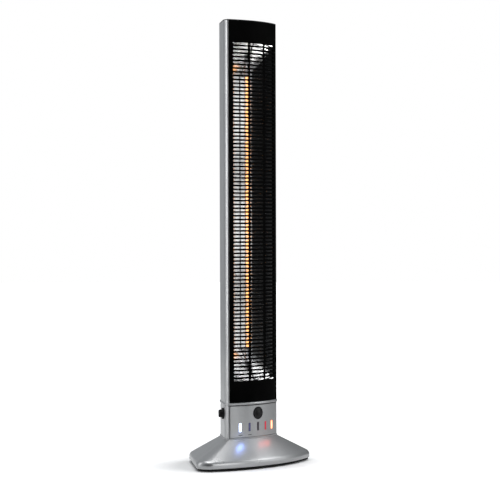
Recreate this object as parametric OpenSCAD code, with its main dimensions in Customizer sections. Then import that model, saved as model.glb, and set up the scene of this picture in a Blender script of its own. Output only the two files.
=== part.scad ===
// Free-standing column radiant heater, in millimetres.
// Origin: centre of the resting plane. The front faces -Y and +Z is up.

/* [Column] */
// Overall height of the heater
overall_h = 980; // [940:5:1020]
// Width of the column across its bowed front
column_w = 149; // [145:1:153]
// Depth of the column from the foremost line of the bow to the back
column_d = 94; // [90:1:98]
// Width of the column's flat back
column_back_w = 51; // [48:1:54]
// Radius of the bowed front
bow_r = 183; // [176:1:190]
// Distance from the origin to the foremost line of the bow
column_front = 63; // [61:1:65]
// Radius of the rounded side shoulders
shoulder_r = 26; // [20:1:30]
// Wall of the column shell and of the control housing
shell_t = 1.6; // [1.2:0.1:2]

/* [Base] */
// Width of the base
base_w = 329; // [322:1:336]
// Depth of the base
base_d = 215; // [210:1:220]
// Radius of the base's bowed front edge
base_bow_r = 358; // [345:1:375]
// Radius of the base's corners
base_corner_r = 28; // [25:1:31]
// Lean of the base's sides towards the back, in degrees
base_lean = 37.5; // [36:0.5:39]
// Height of the skirt where the control housing stands on it
skirt_top = 65; // [62:1:68]
// Wall of the skirt
skirt_t = 2.4; // [2:0.1:3]
// Thickness of the floor plate
floor_t = 4; // [3:0.5:5]
// Thickness of the ballast plate
ballast_t = 8; // [6:1:12]

/* [Control housing] */
// Height of the control housing
housing_h = 71; // [68:1:74]
// Height of the bead collar between housing and column
collar_h = 6; // [5:0.5:7]
// Diameter of the round push button
button_d = 20.6; // [19:0.1:22]
// Travel of the push button
button_travel = 2; // [1.5:0.5:2.5]
// Diameter of the black ring around the push button
ring_d = 27.5; // [27:0.5:29]
// Diameter of the heat selector's flange
knob_d = 25; // [22:0.5:26]
// Turn of the heat selector, in degrees
knob_turn = 180; // [120:10:270]

/* [Grille] */
// Rows of slots in the grille
grille_rows = 90; // [80:1:92]
// Height of each slot
slot_h = 4.5; // [3.5:0.1:5]
// Height of the solid panel below the slots
panel_low = 47.5; // [44:0.5:52]
// Height of the solid panel above the slots
panel_high = 48; // [44:0.5:52]
// Half angle of the centre column of slots
slot_mid_angle = 6.4; // [6:0.1:6.8]
// Width of the two upright bars
upright_w = 4.6; // [4:0.1:6]
// Border beside the outer slots
grille_border = 10.5; // [9:0.5:12]

/* [Heating element] */
// Diameter of the quartz tube
tube_d = 16; // [14:0.5:18]
// Distance of the tube's axis behind the bow's foremost line
tube_back = 29; // [27:0.5:30]
// Slope of the reflector's end plates, in degrees
end_slope = 58; // [54:1:62]

/* [Hidden] */

// Facets of plain rounds, of wide bows and of blended shapes
round_fn = 64;
bow_fn = 240;
hull_fn = 48;
// Overlap that makes a cut run clean through a face
cut = 1;
// Gap between neighbouring solids that don't touch
gap = 0.4;
// How far a cut reaches to either side of the wall that it goes through
reach = 8;

silver = "silver";
black = [0.06, 0.06, 0.07];
steel = [0.72, 0.73, 0.75];
board_green = [0.1, 0.35, 0.2];

// ---- Plan outlines: a bowed front and mirrored sides with rounded corners ----

function unit(a, b) = (b - a) / norm(b - a);
// Normal that points inwards when the outline is walked from front to back on +X
function inward(v) = [-v.y, v.x];

// Rounded corner between two straight sides: [centre, first tangent, second tangent, radius]
function corner(a, p, b, r) =
    let (d1 = unit(a, p), d2 = unit(p, b), reach = r * tan(acos(d1 * d2) / 2))
    [p - d1 * reach + inward(d1) * r, p - d1 * reach, p + d2 * reach, r];

// Rounded corner between the bow and the straight side from p to q
function bow_corner(bow, c, p, q, r) =
    let (d = unit(p, q), w = p + inward(d) * r - c, b = w * d)
    let (o = c + w + d * (-b - sqrt(b * b - w * w + pow(bow - r, 2))))
    [o, c + unit(c, o) * bow, o - inward(d) * r, r];

// Tangent points of a corner, moved inwards; a corner that is used up becomes its centre
function corner_points(k, inset) = k[3] <= inset ? [k[0]] :
    [for (i = [1, 2]) k[0] + (k[i] - k[0]) * (k[3] - inset) / k[3]];

function mirrored(points) = [for (i = [len(points) - 1 : -1 : 0]) [-points[i].x, points[i].y]];

// A plan is [bow radius, bow centre, corners]
column_bow = [0, bow_r - column_front];
chord_y = column_bow.y - sqrt(pow(bow_r, 2) - pow(column_w / 2, 2));
lip_corner_r = 2.5;
back_corner_r = 3.5;
shoulder_p = [column_w / 2, chord_y + 13];
back_p = [column_back_w / 2, column_d - column_front];
column_plan = [bow_r, column_bow, [
    bow_corner(bow_r, column_bow, [column_w / 2, chord_y], shoulder_p, lip_corner_r),
    corner([column_w / 2, chord_y], shoulder_p, back_p, shoulder_r),
    corner(shoulder_p, back_p, [0, back_p.y], back_corner_r)]];

base_bow = [0, base_bow_r - base_d / 2];
base_front_o = let (x = base_w / 2 - base_corner_r)
    [x, base_bow.y - sqrt(pow(base_bow_r - base_corner_r, 2) - x * x)];
base_side_p = base_front_o + base_corner_r * [cos(base_lean), sin(base_lean)];
base_back_p = [base_side_p.x - (base_d / 2 - base_side_p.y) * tan(base_lean), base_d / 2];
base_plan = [base_bow_r, base_bow, [
    bow_corner(base_bow_r, base_bow, base_side_p, base_back_p, base_corner_r),
    corner(base_side_p, base_back_p, [0, base_d / 2], base_corner_r)]];

// Round of a corner, cut off just inside the outline. It stands proud by a hair, so that it
// crosses the straight sides where it would otherwise only touch them.
hair = 0.01;
round_depth = 0.15;
module corner_round(k, inset, fn) {
    r = k[3] - inset;
    middle = unit(k[0], (k[1] + k[2]) / 2);
    half = acos(unit(k[0], k[1]) * middle) + acos(1 - round_depth / r);
    translate(k[0]) rotate(atan2(middle.y, middle.x)) intersection() {
        circle(r + hair, $fn = fn);
        translate([r * cos(half), -2 * r]) square([2 * r, 4 * r]);
    }
}

// Plan outline moved inwards by inset, or outwards where inset is negative
module outline(plan, inset = 0, fn = round_fn) {
    side = [for (k = plan[2]) each corner_points(k, inset)];
    tip = side[0];
    polygon(concat(side, mirrored(side)));
    intersection() {
        translate(plan[1]) circle(plan[0] - inset, $fn = bow_fn);
        translate([-plan[0], tip.y - plan[0]]) square([2 * plan[0], plan[0]]);
    }
    for (k = plan[2])
        if (k[3] - inset > 2 * round_depth) {
            corner_round(k, inset, fn);
            mirror([1, 0]) corner_round(k, inset, fn);
        }
}

module slab(plan, inset, z_low, z_high, fn = round_fn)
    translate([0, 0, z_low]) linear_extrude(z_high - z_low) outline(plan, inset, fn);

// ---- Heights ----
foot_t = 4;
foot_proud = 2.5;
plate_low = foot_proud;
plate_high = plate_low + floor_t;
housing_high = skirt_top + housing_h;
column_low = housing_high + collar_h;
cap_t = 2;
column_high = overall_h - cap_t;

// ---- Shared shapes ----

// Rectangle with round corners, centred
module round_rect(w, h, r) {
    square([w - 2 * r, h], center = true);
    square([w, h - 2 * r], center = true);
    for (x = [-1, 1], y = [-1, 1])
        translate([x * (w / 2 - r), y * (h / 2 - r)]) circle(r, $fn = round_fn);
}

// Puts children on the bow's radius at an angle, with their +Z pointing outwards
module on_bow(angle, z, radius = bow_r)
    translate([column_bow.x, column_bow.y, z])
        rotate([0, 0, angle]) translate([0, -radius, 0]) rotate([90, 0, 0]) children();

// Wall that follows the bow between two radii
module bow_wall(r_out, r_in, half_w, z_low, z_high)
    translate([0, 0, z_low]) linear_extrude(z_high - z_low) intersection() {
        translate(column_bow) difference() {
            circle(r_out, $fn = bow_fn);
            circle(r_in, $fn = bow_fn);
        }
        translate([-half_w, -column_front - cut]) square([2 * half_w, column_front]);
    }

// Pan or countersunk head screw that points along +Z, head at the origin
module screw(shank_d, shank_l, head_d, head_t) {
    translate([0, 0, -head_t]) cylinder(d = head_d, h = head_t, $fn = round_fn);
    cylinder(d = shank_d, h = shank_l, $fn = round_fn);
}

// Round wire from one point to another
module wire(a, b, d) {
    length = norm(b - a);
    dir = (b - a) / length;
    translate(a) rotate([0, acos(dir.z), atan2(dir.y, dir.x)])
        cylinder(d = d, h = length, $fn = round_fn);
}

// Closed rings that stand for a coil spring's turns
module coil(d, wire_d, length, turns)
    for (i = [0 : turns - 1])
        translate([0, 0, wire_d / 2 + i * (length - wire_d) / (turns - 1)])
            rotate_extrude($fn = round_fn) translate([(d - wire_d) / 2, 0])
                circle(d = wire_d, $fn = round_fn);

// ---- Base ----
rim_edge = 17;
rim_ease = [1, 2.5];
// The shoulder rolls from the upright rim into the slope
shoulder_roll = 8;
shoulder_angles = [0, 22, 44, 66];
screw_places = [for (p = [[92, -62], [58, 50]], s = [1, -1]) [s * p.x, p.y]];
foot_places = [for (p = [[134, -50], [40, 84]], s = [1, -1]) [s * p.x, p.y]];
foot_d = 22;
boss_d = 9;
base_screw_d = 3.5;
base_screw_l = 11;
screw_head_d = 6.6;
screw_recess_d = 7.4;
screw_recess_t = 1.6;
wire_pass_d = 24;
wire_pass_y = -20;
pocket_t = 8;
post_w = 40;
post_d = 20;
post_y = 9;
post_t = 2;
switch_y = 60;
plunger_d = 7.6;
ballast_inset = 19;
// Seat on the skirt that carries the control housing, and its eased edge
seat_proud = 1.6;
seat_t = 2;
seat_ease = 0.6;

module skirt_solid(inset, z_low, z_high) hull() {
    slab(base_plan, inset + rim_ease[0], z_low, z_low + rim_ease[0], hull_fn);
    for (a = shoulder_angles)
        slab(base_plan, inset + shoulder_roll * (1 - cos(a)), z_low + rim_ease[1],
            rim_edge - inset + shoulder_roll * sin(a), hull_fn);
    slab(column_plan, inset - 2 * seat_ease, z_high - 1.5 * seat_t, z_high - 1.5, hull_fn);
}

module base_cover() color(silver) difference() {
    union() {
        difference() {
            skirt_solid(0, plate_high, skirt_top);
            skirt_solid(skirt_t, plate_high - 2 * cut, skirt_top - skirt_t);
        }
        slab(column_plan, -seat_proud, skirt_top - seat_t - seat_ease, skirt_top - seat_ease);
        slab(column_plan, -seat_ease, skirt_top - seat_t, skirt_top);
        intersection() {
            for (p = screw_places)
                translate([p.x, p.y, plate_high])
                    cylinder(d = boss_d, h = skirt_top, $fn = round_fn);
            skirt_solid(skirt_t / 2, plate_high - cut, skirt_top - skirt_t / 2);
        }
    }
    translate([0, post_y, skirt_top - pocket_t]) linear_extrude(pocket_t + cut)
        square([post_w + 2 * gap, post_d + 2 * gap], center = true);
    translate([0, wire_pass_y, skirt_top - pocket_t])
        cylinder(d = wire_pass_d, h = pocket_t + cut, $fn = round_fn);
    for (p = screw_places)
        translate([p.x, p.y, plate_high - cut])
            cylinder(d = base_screw_d, h = base_screw_l + 2 * cut, $fn = round_fn);
}

module base_plate() color(black) difference() {
    slab(base_plan, 3, plate_low, plate_high);
    for (p = foot_places)
        translate([p.x, p.y, 0]) cylinder(d = foot_d, h = foot_t, $fn = round_fn);
    for (p = screw_places)
        translate([p.x, p.y, 0]) {
            cylinder(d = base_screw_d + 0.4, h = plate_high + cut, $fn = round_fn);
            cylinder(d = screw_recess_d, h = plate_low + screw_recess_t, $fn = round_fn);
        }
    translate([0, switch_y, 0]) cylinder(d = plunger_d + 0.8, h = plate_high + cut, $fn = round_fn);
    for (x = [-1, 1])
        translate([x * post_bolt_x, post_y, 0])
            cylinder(d = post_bolt_d, h = plate_high + cut, $fn = round_fn);
    for (x = [-1, 1])
        translate([x * post_bolt_x, post_y, 0])
            cylinder(d = bolt_recess_d, h = plate_low + bolt_recess_t, $fn = round_fn);
}

module ballast_plate() color(black) difference() {
    slab(base_plan, ballast_inset, plate_high, plate_high + ballast_t);
    for (p = screw_places)
        translate([p.x, p.y, plate_high - cut])
            cylinder(d = boss_d + 3, h = ballast_t + 2 * cut, $fn = round_fn);
    translate([-switch_w / 2 - 5, switch_y - switch_d / 2 - 4, plate_high - cut])
        cube([switch_w + 10, switch_d + 8, ballast_t + 2 * cut]);
    translate([-flange_w / 2 - cut, post_y - flange_d / 2 - cut, plate_high - cut])
        cube([flange_w + 2 * cut, flange_d + 2 * cut, ballast_t + 2 * cut]);
}

module rubber_feet() color([0.1, 0.1, 0.1])
    for (p = foot_places)
        translate([p.x, p.y, 0]) cylinder(d = foot_d, h = foot_t, $fn = round_fn);

module base_screws() color(steel)
    for (p = screw_places)
        translate([p.x, p.y, plate_low + screw_recess_t])
            screw(base_screw_d, base_screw_l, screw_head_d, screw_recess_t - 0.2);

// ---- Support post between the base plate and the column ----
post_high = column_low + 36;
flange_w = 84;
flange_d = 34;
flange_t = 4;
post_bolt_x = 32;
post_bolt_d = 6;
bolt_recess_d = 11;
bolt_recess_t = 1.4;
wire_hole_d = 14;
post_bolt_l = 12;
post_nut_d = 11;
post_nut_t = 4.5;

module support_post() color(steel) difference() {
    union() {
        translate([-flange_w / 2, post_y - flange_d / 2, plate_high])
            cube([flange_w, flange_d, flange_t]);
        translate([-post_w / 2, post_y - post_d / 2, plate_high])
            cube([post_w, post_d, post_high - plate_high]);
    }
    translate([-post_w / 2 + post_t, post_y - post_d / 2 + post_t, plate_high + flange_t])
        cube([post_w - 2 * post_t, post_d - 2 * post_t, post_high]);
    for (x = [-1, 1])
        translate([x * post_bolt_x, post_y, 0])
            cylinder(d = post_bolt_d, h = plate_high + flange_t + cut, $fn = round_fn);
    for (x = [-1, 1])
        translate([x * back_screw_x, post_y, column_low + back_screw_rise])
            rotate([-90, 0, 0]) cylinder(d = back_screw_d, h = post_d, $fn = round_fn);
    translate([0, post_y - post_d, skirt_top - 20]) rotate([-90, 0, 0])
        cylinder(d = wire_hole_d, h = post_d, $fn = round_fn);
}

module post_bolts() color(steel)
    for (x = [-1, 1])
        translate([x * post_bolt_x, post_y, plate_low + bolt_recess_t]) {
            screw(post_bolt_d, post_bolt_l, bolt_recess_d - 1, bolt_recess_t - 0.2);
            translate([0, 0, plate_high + flange_t - plate_low - bolt_recess_t])
                cylinder(d = post_nut_d, h = post_nut_t, $fn = 6);
        }

// ---- Tip-over switch in the base ----
plunger_travel = 4;
switch_w = 34;
switch_d = 18;
switch_h = 24;
guide_t = 3;
chamber_d = 13;
plunger_collar_t = 1.5;
collar_low = plate_high + guide_t + plunger_travel + 0.5;
plunger_high = plate_high + switch_h + 1;

module tip_switch_body() color(black) translate([0, switch_y, plate_high]) difference() {
    translate([-switch_w / 2, -switch_d / 2, 0]) cube([switch_w, switch_d, switch_h]);
    translate([0, 0, -cut])
        cylinder(d = plunger_d + 0.1, h = switch_h + 2 * cut, $fn = round_fn);
    translate([0, 0, guide_t])
        cylinder(d = chamber_d, h = switch_h - 2 * guide_t, $fn = round_fn);
}

module tip_switch_plunger() color([0.85, 0.85, 0.82]) translate([0, switch_y, 0])
    rotate_extrude($fn = round_fn) polygon([[0, 0], [plunger_d / 2 - 1.5, 0],
        [plunger_d / 2, 1.5], [plunger_d / 2, collar_low], [chamber_d / 2 - 0.5, collar_low],
        [chamber_d / 2 - 0.5, collar_low + plunger_collar_t],
        [plunger_d / 2, collar_low + plunger_collar_t],
        [plunger_d / 2, plunger_high], [0, plunger_high]]);

module tip_switch_spring() color(steel) {
    spring_low = collar_low + plunger_collar_t + 0.1;
    translate([0, switch_y, spring_low])
        coil(chamber_d - 1, 1, plate_high + switch_h - guide_t - spring_low, 5);
}

// ---- Control housing ----
panel_half = column_w / 2 - shell_t - 1.2;
panel_t = 2;
panel_flange_d = 10;
// Open joints between the panel and the skirt, and between the panel and the bead
panel_gap_low = 0.8;
panel_gap_high = 1.6;
// How far the housing's and the shell's open front reaches behind the bow's chord
front_lip = 4;
button_z = housing_high - 19;
lens_z = skirt_top + 22.5;
lens_w = 5.5;
lens_h = 19;
lens_corner_r = 1;
lens_flange = 1.5;
lens_flange_t = 2;
lens_flange_depth = 5;
ring_overlap = 1.5;
lens_step = 7.7;
lens_r_in = bow_r - 12;

// The flat side face on -X: its front end and its direction towards the back
side_start = let (k = column_plan[2][1]) [-k[2].x, k[2].y];
side_dir = let (v = unit(shoulder_p, back_p)) [-v.x, v.y];
knob_p = side_start + 9 * side_dir;
knob_angle = atan2(-side_dir.x, side_dir.y);
knob_z = housing_high - 18.5;
bush_d = 7;
shaft_d = 5;

// Puts children on the flat side face with their +Z pointing outwards
module on_side()
    translate([knob_p.x, knob_p.y, knob_z])
        rotate([0, 0, knob_angle]) rotate([0, -90, 0]) children();

gland_z = skirt_top + 20;
gland_thread_d = 16;
back_y = back_p.y;

module control_housing() color(silver) difference() {
    slab(column_plan, 0, skirt_top, housing_high);
    slab(column_plan, shell_t, skirt_top - cut, housing_high + cut);
    translate([-column_w / 2 + shell_t, -column_front - cut, skirt_top - cut])
        cube([column_w - 2 * shell_t, column_front + chord_y + cut + front_lip, housing_h + 2 * cut]);
    on_side() translate([0, 0, -reach]) cylinder(d = bush_d, h = 2 * reach, $fn = round_fn);
    translate([0, back_y - reach, gland_z]) rotate([-90, 0, 0])
        cylinder(d = gland_thread_d, h = 2 * reach, $fn = round_fn);
}

module control_panel() color(silver) difference() {
    union() {
        bow_wall(bow_r, bow_r - panel_t, panel_half, skirt_top + panel_gap_low,
            housing_high - panel_gap_high);
        for (s = [-1, 1])
            translate([s * (panel_half - panel_t / 2) - panel_t / 2, chord_y - 2,
                skirt_top + panel_gap_low])
                cube([panel_t, panel_flange_d, housing_h - panel_gap_low - panel_gap_high]);
    }
    for (i = [-2 : 2])
        on_bow(i * lens_step, lens_z) translate([0, 0, -reach]) linear_extrude(2 * reach)
            round_rect(lens_w, lens_h, lens_corner_r + 0.2);
    on_bow(0, button_z) translate([0, 0, -reach])
        cylinder(d = ring_d - 2 * ring_overlap, h = 2 * reach, $fn = round_fn);
}

// Ring that lines the hole in the panel; its rounded flange follows the panel's bow
ring_proud = 1.6;
ring_depth = 8;
module button_ring() color(black) {
    r_in = button_d / 2 + 0.15;
    edge = 0.8;
    on_bow(0, button_z) rotate_extrude($fn = round_fn) translate([r_in, -ring_depth])
        square([ring_d / 2 - ring_overlap - 0.15 - r_in, ring_depth + ring_proud]);
    difference() {
        on_bow(0, button_z) rotate_extrude($fn = round_fn) {
            translate([r_in, -1.5]) square([ring_d / 2 - r_in, 1.5 + ring_proud - edge]);
            translate([r_in, -1.5]) square([ring_d / 2 - edge - r_in, 1.5 + ring_proud]);
            translate([ring_d / 2 - edge, ring_proud - edge]) circle(edge, $fn = round_fn);
        }
        translate([column_bow.x, column_bow.y, button_z - ring_d])
            cylinder(r = bow_r + 0.02, h = 2 * ring_d, $fn = bow_fn);
    }
}

// Domed cap on a skirt and a stem; +Z of the local frame points outwards
button_proud = 3;
button_rise = 1.6;
button_skirt_l = 6;
button_stem_l = 14;
button_stem_d = 5;
module push_button() color(black) on_bow(0, button_z) rotate_extrude($fn = round_fn)
    difference() {
        union() {
            translate([0, -button_skirt_l])
                square([button_d / 2, button_skirt_l + button_proud - button_rise]);
            intersection() {
                translate([0, button_proud - dome_r]) circle(dome_r, $fn = bow_fn);
                translate([0, -button_skirt_l]) square([button_d / 2, 2 * button_skirt_l]);
            }
            translate([0, -button_stem_l]) square([button_stem_d / 2, 10]);
        }
        translate([5.6, button_proud - 1]) square([0.7, 3]);
        translate([button_stem_d / 2, -button_skirt_l - cut]) square([5.5, 5]);
    }
dome_r = (pow(button_d / 2, 2) + pow(button_rise, 2)) / (2 * button_rise);

module button_spring() color(steel)
    on_bow(0, button_z, bow_r - panel_t) translate([0, 0, -15.6]) coil(9, 0.8, 8, 4);

module lens(place) on_bow(place * lens_step, lens_z) {
    translate([0, 0, lens_r_in - bow_r]) linear_extrude(bow_r - lens_r_in + gap)
        round_rect(lens_w - 0.3, lens_h - 0.3, lens_corner_r);
    translate([0, 0, -lens_flange_depth]) linear_extrude(lens_flange_t)
        round_rect(lens_w + 2 * lens_flange, lens_h + 2 * lens_flange, lens_flange);
}

module white_lens() color([0.92, 0.97, 1]) lens(-2);
module blue_lens() color([0.25, 0.25, 0.45]) lens(-1);
module dark_lens() color([0.12, 0.05, 0.1]) lens(0);
module red_lens() color([0.7, 0.08, 0.12]) lens(1);
module amber_lens() color([1, 0.75, 0.45]) lens(2);

// ---- Electronics behind the panel ----
board_y = -40;
board_t = 1.6;
board_w = 116;
board_low = skirt_top + 6;
board_h = 58;
standoff_d = 6;
board_screw_d = 2.5;
board_screw_l = 8;
board_screw_head_d = 4.5;
board_screw_head_t = 1.6;
led_size = [4, 1.8, 6];
key_size = [12, 4, 12];
relay_size = [28, 16, 22];
terminal_size = [24, 14, 12];
terminal_step = 8;
board_holes = [for (x = [-1, 1], z = [4, board_h - 4]) [x * (board_w / 2 - 4), board_low + z]];
// The spacers reach from the board to the panel's bowed inside
standoff_l = let (x = board_w / 2 - 4 + standoff_d / 2)
    board_y - column_bow.y + sqrt(pow(bow_r - panel_t, 2) - x * x);

module control_board() color(board_green) difference() {
    translate([-board_w / 2, board_y, board_low]) cube([board_w, board_t, board_h]);
    for (p = board_holes)
        translate([p.x, board_y - cut, p.y]) rotate([-90, 0, 0])
            cylinder(d = board_screw_d + 0.5, h = board_t + 2 * cut, $fn = round_fn);
}

// Spacers between the board and the back of the panel
module board_standoffs() color(steel)
    for (p = board_holes)
        translate([p.x, board_y, p.y]) rotate([90, 0, 0]) difference() {
            cylinder(d = standoff_d, h = standoff_l, $fn = round_fn);
            cylinder(d = board_screw_d, h = standoff_l + cut, $fn = round_fn);
        }

module board_screws() color(steel)
    for (p = board_holes)
        translate([p.x, board_y + board_t, p.y]) rotate([90, 0, 0])
            screw(board_screw_d, board_screw_l, board_screw_head_d, board_screw_head_t);

module indicator_leds() color([0.9, 0.9, 0.85])
    for (i = [-2 : 2])
        translate([lens_r_in * sin(i * lens_step) - led_size.x / 2, board_y - led_size.y,
            lens_z - led_size.z / 2]) cube(led_size);

module button_switch() color(black)
    translate([0, board_y, button_z]) {
        translate([-key_size.x / 2, -key_size.y, -key_size.z / 2]) cube(key_size);
        translate([0, -key_size.y, 0]) rotate([90, 0, 0]) cylinder(d = 3.5, h = 2, $fn = round_fn);
    }

module power_relay() color([0.15, 0.2, 0.45])
    translate([14, board_y + board_t, board_low + 20]) cube(relay_size);

module terminal_block() color([0.9, 0.88, 0.82])
    translate([-16, board_y + board_t, board_low + 8]) difference() {
        cube(terminal_size);
        for (i = [0.5 : 2.5])
            translate([i * terminal_step, terminal_size.y / 2, terminal_size.z / 2])
                cylinder(d = 4, h = terminal_size.z, $fn = round_fn);
    }

// ---- Heat selector on the side ----
knob_flange_t = 3.5;
knob_cap_d = 17;
knob_cap_t = 7;
switch_body_w = 16;
switch_body_t = 12;
bush_l = 3.6;
switch_nut_d = 11;
switch_nut_t = 2;

module rotary_switch() color(black) on_side() difference() {
    union() {
        translate([-switch_body_w / 2, -switch_body_w / 2, -shell_t - switch_body_t])
            cube([switch_body_w, switch_body_w, switch_body_t]);
        translate([0, 0, -shell_t - 1]) cylinder(d = bush_d, h = shell_t + bush_l, $fn = round_fn);
    }
    translate([0, 0, -shell_t - 8]) cylinder(d = shaft_d + 0.1, h = 20, $fn = round_fn);
}

module switch_nut() color(steel) on_side() difference() {
    cylinder(d = switch_nut_d, h = switch_nut_t, $fn = 6);
    translate([0, 0, -cut]) cylinder(d = bush_d, h = switch_nut_t + 2 * cut, $fn = round_fn);
}

// Flange, ribbed cap and shaft turn together
knob_ribs = 12;
knob_groove_d = 2;
pointer_w = 1.2;
module heat_knob() color(black) on_side() {
    knob_top = gap + knob_flange_t + knob_cap_t;
    difference() {
        union() {
            translate([0, 0, gap]) cylinder(d = knob_d, h = knob_flange_t, $fn = round_fn);
            translate([0, 0, gap + 1]) linear_extrude(knob_top - gap - 1) difference() {
                circle(d = knob_cap_d, $fn = round_fn);
                for (i = [0 : knob_ribs - 1])
                    rotate([0, 0, (i + 0.5) * 360 / knob_ribs])
                        translate([knob_cap_d / 2 + 0.4, 0]) circle(d = knob_groove_d, $fn = round_fn);
            }
        }
        translate([0, 0, gap - cut]) cylinder(d = switch_nut_d + 2.5, h = bush_l, $fn = round_fn);
        translate([knob_cap_d / 2 - 6, -pointer_w / 2, knob_top - pointer_w / 2])
            cube([8, pointer_w, 2]);
    }
    translate([0, 0, -shell_t - 6]) cylinder(d = shaft_d, h = 12, $fn = round_fn);
}

// ---- Cable gland at the back ----
cord_d = 8;
gland_thread_l = 9;
gland_hex_d = 22;
gland_hex_t = 5;
gland_body_d = 17;
gland_body_l = 8;
gland_tip_d = 13;
gland_tip_l = 3;
gland_l = gland_thread_l + gland_hex_t + gland_body_l + gland_tip_l;
gland_nut_t = 4.5;
module cable_gland() color(black) translate([0, back_y, gland_z]) rotate([-90, 0, 0])
    difference() {
        union() {
            translate([0, 0, -gland_thread_l])
                cylinder(d = gland_thread_d, h = gland_thread_l, $fn = round_fn);
            cylinder(d = gland_hex_d, h = gland_hex_t, $fn = 6);
            translate([0, 0, gland_hex_t])
                cylinder(d = gland_body_d, h = gland_body_l, $fn = round_fn);
            translate([0, 0, gland_hex_t + gland_body_l])
                cylinder(d1 = gland_body_d, d2 = gland_tip_d, h = gland_tip_l, $fn = round_fn);
        }
        translate([0, 0, -gland_thread_l - cut])
            cylinder(d = cord_d, h = gland_l + 2 * cut, $fn = round_fn);
    }

module gland_nut() color(black) translate([0, back_y - shell_t, gland_z]) rotate([90, 0, 0])
    difference() {
        cylinder(d = gland_hex_d - 1, h = gland_nut_t, $fn = 6);
        translate([0, 0, -cut])
            cylinder(d = gland_thread_d, h = gland_nut_t + 2 * cut, $fn = round_fn);
    }

// ---- Column ----
collar_proud = 2.2;
inner_open_w = 60;
inner_open_d = 66;
inner_open_y = -9;
back_screw_x = 12;
back_screw_rise = 16;
back_screw_d = 3.5;

module bead_collar() color(silver) difference() {
    hull() {
        slab(column_plan, 0, housing_high, column_low, hull_fn);
        slab(column_plan, -collar_proud * 0.7, housing_high + 1, column_low - 1, hull_fn);
        slab(column_plan, -collar_proud, housing_high + 2.2, column_low - 2.2, hull_fn);
    }
    translate([-inner_open_w / 2, inner_open_y - inner_open_d / 2, housing_high - cut])
        cube([inner_open_w, inner_open_d, collar_h + 2 * cut]);
}

vent_w = 34;
vent_h = 3;
vent_step = 8;
vent_rows = 8;
vents_above_floor = 70;
vents_below_top = 110;
module vents(z_low)
    for (i = [0 : vent_rows - 1])
        translate([0, back_y + reach, z_low + i * vent_step]) rotate([90, 0, 0])
            linear_extrude(2 * reach) round_rect(vent_w, vent_h, vent_h / 2 - hair);

module column_shell() color(silver) difference() {
    slab(column_plan, 0, column_low, column_high);
    slab(column_plan, shell_t, column_low - cut, column_high + cut);
    translate([-column_w / 2 + shell_t, -column_front - cut, column_low - cut])
        cube([column_w - 2 * shell_t, column_front + chord_y + cut + front_lip, overall_h]);
    vents(column_low + vents_above_floor);
    vents(column_high - vents_below_top);
    for (x = [-1, 1])
        translate([x * back_screw_x, back_y - reach, column_low + back_screw_rise])
            rotate([-90, 0, 0]) cylinder(d = back_screw_d + gap, h = 2 * reach, $fn = round_fn);
}

floor_plate_t = 2;
module column_floor() color(steel) difference() {
    intersection() {
        slab(column_plan, shell_t + grille_t + 2 * gap, column_low, column_low + floor_plate_t);
        translate([-column_w / 2, chord_y + 6, column_low]) cube([column_w, column_d, 10]);
    }
    translate([-inner_open_w / 2 + 4, inner_open_y - inner_open_d / 2 + 4, column_low - cut])
        cube([inner_open_w - 8, inner_open_d - 8, 10]);
}

grille_t = 1.6;
grille_half = column_w / 2 - shell_t - 0.2;
window_low = column_low + panel_low;
window_high = column_high - panel_high;
slot_step = (window_high - window_low - slot_h) / (grille_rows - 1);
upright_angle = upright_w / bow_r * 180 / PI;
slot_far_angle = asin(grille_half / bow_r) - grille_border / bow_r * 180 / PI;
slot_side_start = slot_mid_angle + upright_angle;
// Columns of slots as [centre angle, half angle]
slot_columns = let (half = (slot_far_angle - slot_side_start) / 2)
    [[-slot_far_angle + half, half], [0, slot_mid_angle], [slot_far_angle - half, half]];

module front_grille() color(black) difference() {
    union() {
        bow_wall(bow_r, bow_r - grille_t, grille_half, column_low, column_high);
        for (s = [-1, 1])
            translate([s * (grille_half - grille_t / 2) - grille_t / 2, chord_y - 1.5, column_low])
                cube([grille_t, 5.5, column_high - column_low]);
    }
    for (k = slot_columns, i = [0 : grille_rows - 1])
        on_bow(k[0], window_low + slot_h / 2 + i * slot_step) translate([0, 0, -reach])
            linear_extrude(2 * reach) slot_shape(2 * bow_r * sin(k[1]), slot_h);
}

// Slot with round ends
module slot_shape(w, h) {
    square([w - h, h], center = true);
    for (s = [-1, 1])
        translate([s * (w - h) / 2, 0]) circle(h / 2, $fn = round_fn);
}

// Lid with a collar that fits into the shell behind the grille
cap_collar_h = 8;
cap_collar_t = 2;
cap_collar_y = chord_y + 14;
module cap_collar(inset, drop) intersection() {
    slab(column_plan, shell_t + 0.2 + inset, column_high - drop, column_high);
    translate([-column_w / 2, cap_collar_y + inset, column_high - drop])
        cube([column_w, column_d, drop]);
}
module top_cap() color(black) {
    slab(column_plan, 0, column_high, overall_h);
    difference() {
        cap_collar(0, cap_collar_h);
        cap_collar(cap_collar_t, cap_collar_h + cut);
    }
}

module back_screws() color(steel)
    for (x = [-1, 1])
        translate([x * back_screw_x, back_y, column_low + back_screw_rise])
            rotate([90, 0, 0]) screw(back_screw_d, back_y - post_y - post_d / 2 + 3, 2 * back_screw_d, 1.8);

// ---- Reflector and heating element ----
trough_half = 62;
trough_flange = 7;
trough_front = -column_front + 16.5;
trough_back = -column_front + 55;
sheet_t = 0.8;
tube_y = -column_front + tube_back;
reflector_low = column_low + 20;
reflector_high = column_high - 18;

// Half of the folded trough, from its front edge to the stiffening crease in its flat middle
trough_line = [[-trough_half, trough_front], [-42, trough_back - 17.5], [-21, trough_back - 1],
    [-1.6, trough_back], [0, trough_back - 1.4]];
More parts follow.
